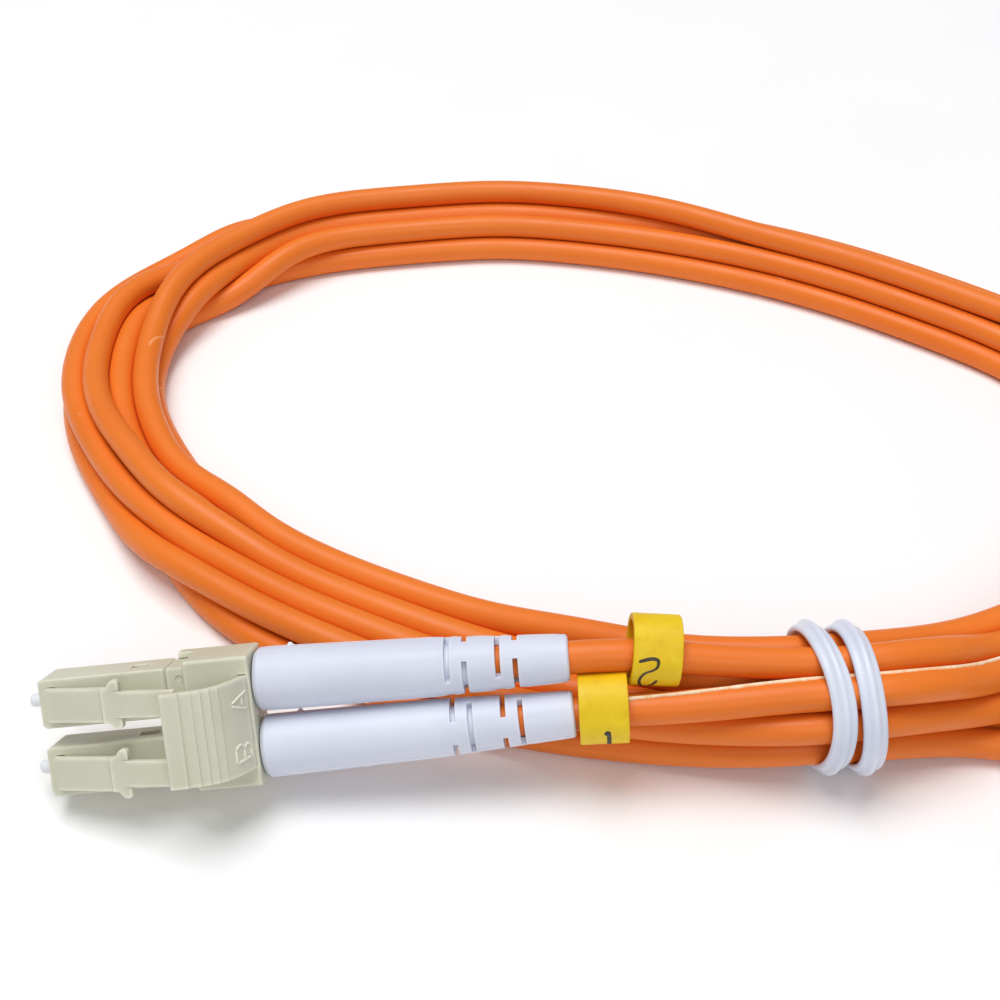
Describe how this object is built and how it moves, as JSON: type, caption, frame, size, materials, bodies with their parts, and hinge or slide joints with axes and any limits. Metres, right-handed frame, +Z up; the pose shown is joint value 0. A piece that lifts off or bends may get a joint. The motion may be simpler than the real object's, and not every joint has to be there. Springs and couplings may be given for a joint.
{
  "type": "fiber optic patch cord",
  "caption": "Duplex fibre optic patch cord with a pair of latched plugs, clip, release trigger, boots and markers at each end, wound in a flat coil held by a wire tie.",
  "frame": {"origin": "on the surface the cord lies on, below the middle of the box around the two plug pairs with their boots", "axes": "+X runs from the near plug pair towards the far plug pair, +Y towards the coil, +Z up"},
  "size_m": [0.1646, 0.1181, 0.0161],
  "materials": {
    "beige_plastic": "moulded engineering plastic, satin",
    "ceramic": "polished zirconia ceramic",
    "plated_metal": "nickel plated brass, satin",
    "spring_steel": "drawn stainless wire",
    "fibre_buffer": "tight buffer on the glass fibre",
    "boot_white": "soft moulded elastomer, satin",
    "marker_yellow": "soft vinyl",
    "jacket_orange": "smooth vinyl jacket, satin",
    "tie_white": "plastic coated wire ribbon"
  },
  "bodies": {
    "cord": {"near_housing_a": "beige_plastic", "near_housing_b": "beige_plastic", "near_spring_a": "spring_steel", "near_spring_b": "spring_steel", "near_rear_body_a": "beige_plastic", "near_rear_body_b": "beige_plastic", "near_crimp_sleeve_a": "plated_metal", "near_crimp_sleeve_b": "plated_metal", "near_boot_a": "boot_white", "near_boot_b": "boot_white", "near_clip": "beige_plastic", "near_lead_1": "jacket_orange", "near_lead_2": "jacket_orange", "near_marker_1": "marker_yellow", "near_marker_2": "marker_yellow", "far_housing_a": "beige_plastic", "far_housing_b": "beige_plastic", "far_spring_a": "spring_steel", "far_spring_b": "spring_steel", "far_rear_body_a": "beige_plastic", "far_rear_body_b": "beige_plastic", "far_crimp_sleeve_a": "plated_metal", "far_crimp_sleeve_b": "plated_metal", "far_boot_a": "boot_white", "far_boot_b": "boot_white", "far_clip": "beige_plastic", "far_lead_1": "jacket_orange", "far_lead_2": "jacket_orange", "far_marker_1": "marker_yellow", "far_marker_2": "marker_yellow", "cord_coil": "jacket_orange", "wire_tie": "tie_white"},
    "near_trigger": {"near_trigger": "beige_plastic"},
    "near_latch_a": {"near_latch_a": "beige_plastic"},
    "near_ferrule_a": {"near_ferrule_a": "ceramic", "near_flange_a": "plated_metal", "near_fibre_a": "fibre_buffer"},
    "near_latch_b": {"near_latch_b": "beige_plastic"},
    "near_ferrule_b": {"near_ferrule_b": "ceramic", "near_flange_b": "plated_metal", "near_fibre_b": "fibre_buffer"},
    "far_trigger": {"far_trigger": "beige_plastic"},
    "far_latch_a": {"far_latch_a": "beige_plastic"},
    "far_ferrule_a": {"far_ferrule_a": "ceramic", "far_flange_a": "plated_metal", "far_fibre_a": "fibre_buffer"},
    "far_latch_b": {"far_latch_b": "beige_plastic"},
    "far_ferrule_b": {"far_ferrule_b": "ceramic", "far_flange_b": "plated_metal", "far_fibre_b": "fibre_buffer"}
  },
  "joints": [
    {"name": "near_trigger_press", "type": "hinge", "parent": "cord", "child": "near_trigger", "pos_m": [-0.05692, 0.00514, 0.00947], "axis": [0.105, -0.5845, -0.8046], "range_deg": [0, 16], "stiffness_Nm_per_rad": 0.04},
    {"name": "near_latch_a_flex", "type": "hinge", "parent": "cord", "child": "near_latch_a", "pos_m": [-0.07446, 0.00705, 0.00968], "axis": [-0.105, 0.5845, 0.8046], "range_deg": [0, 7.5]},
    {"name": "near_ferrule_a_slide", "type": "slide", "parent": "cord", "child": "near_ferrule_a", "axis": [0.9939, 0.0347, 0.1045], "range_m": [0, 0.0008], "stiffness_N_per_m": 1500, "deforming": ["near_spring_a"]},
    {"name": "near_latch_b_flex", "type": "hinge", "parent": "cord", "child": "near_latch_b", "pos_m": [-0.0738, 0.0034, 0.00465], "axis": [-0.105, 0.5845, 0.8046], "range_deg": [0, 7.5]},
    {"name": "near_ferrule_b_slide", "type": "slide", "parent": "cord", "child": "near_ferrule_b", "axis": [0.9939, 0.0347, 0.1045], "range_m": [0, 0.0008], "stiffness_N_per_m": 1500, "deforming": ["near_spring_b"]},
    {"name": "far_trigger_press", "type": "hinge", "parent": "cord", "child": "far_trigger", "pos_m": [0.05681, -0.00338, 0.00605], "axis": [0.2756, 0.9613, 0], "range_deg": [0, 16], "stiffness_Nm_per_rad": 0.04},
    {"name": "far_latch_a_flex", "type": "hinge", "parent": "cord", "child": "far_latch_a", "pos_m": [0.07262, -0.01117, 0.0052], "axis": [-0.2756, -0.9613, 0], "range_deg": [0, 7.5]},
    {"name": "far_ferrule_a_slide", "type": "slide", "parent": "cord", "child": "far_ferrule_a", "axis": [-0.9613, 0.2756, 0], "range_m": [0, 0.0008], "stiffness_N_per_m": 1500, "deforming": ["far_spring_a"]},
    {"name": "far_latch_b_flex", "type": "hinge", "parent": "cord", "child": "far_latch_b", "pos_m": [0.07434, -0.00516, 0.0052], "axis": [-0.2756, -0.9613, 0], "range_deg": [0, 7.5]},
    {"name": "far_ferrule_b_slide", "type": "slide", "parent": "cord", "child": "far_ferrule_b", "axis": [-0.9613, 0.2756, 0], "range_m": [0, 0.0008], "stiffness_N_per_m": 1500, "deforming": ["far_spring_b"]}
  ],
  "couplings": [
    {"joint": "near_latch_a_flex", "follows": "near_trigger_press", "ratio": 0.45},
    {"joint": "near_latch_b_flex", "follows": "near_trigger_press", "ratio": 0.45},
    {"joint": "far_latch_a_flex", "follows": "far_trigger_press", "ratio": 0.45},
    {"joint": "far_latch_b_flex", "follows": "far_trigger_press", "ratio": 0.45}
  ]
}
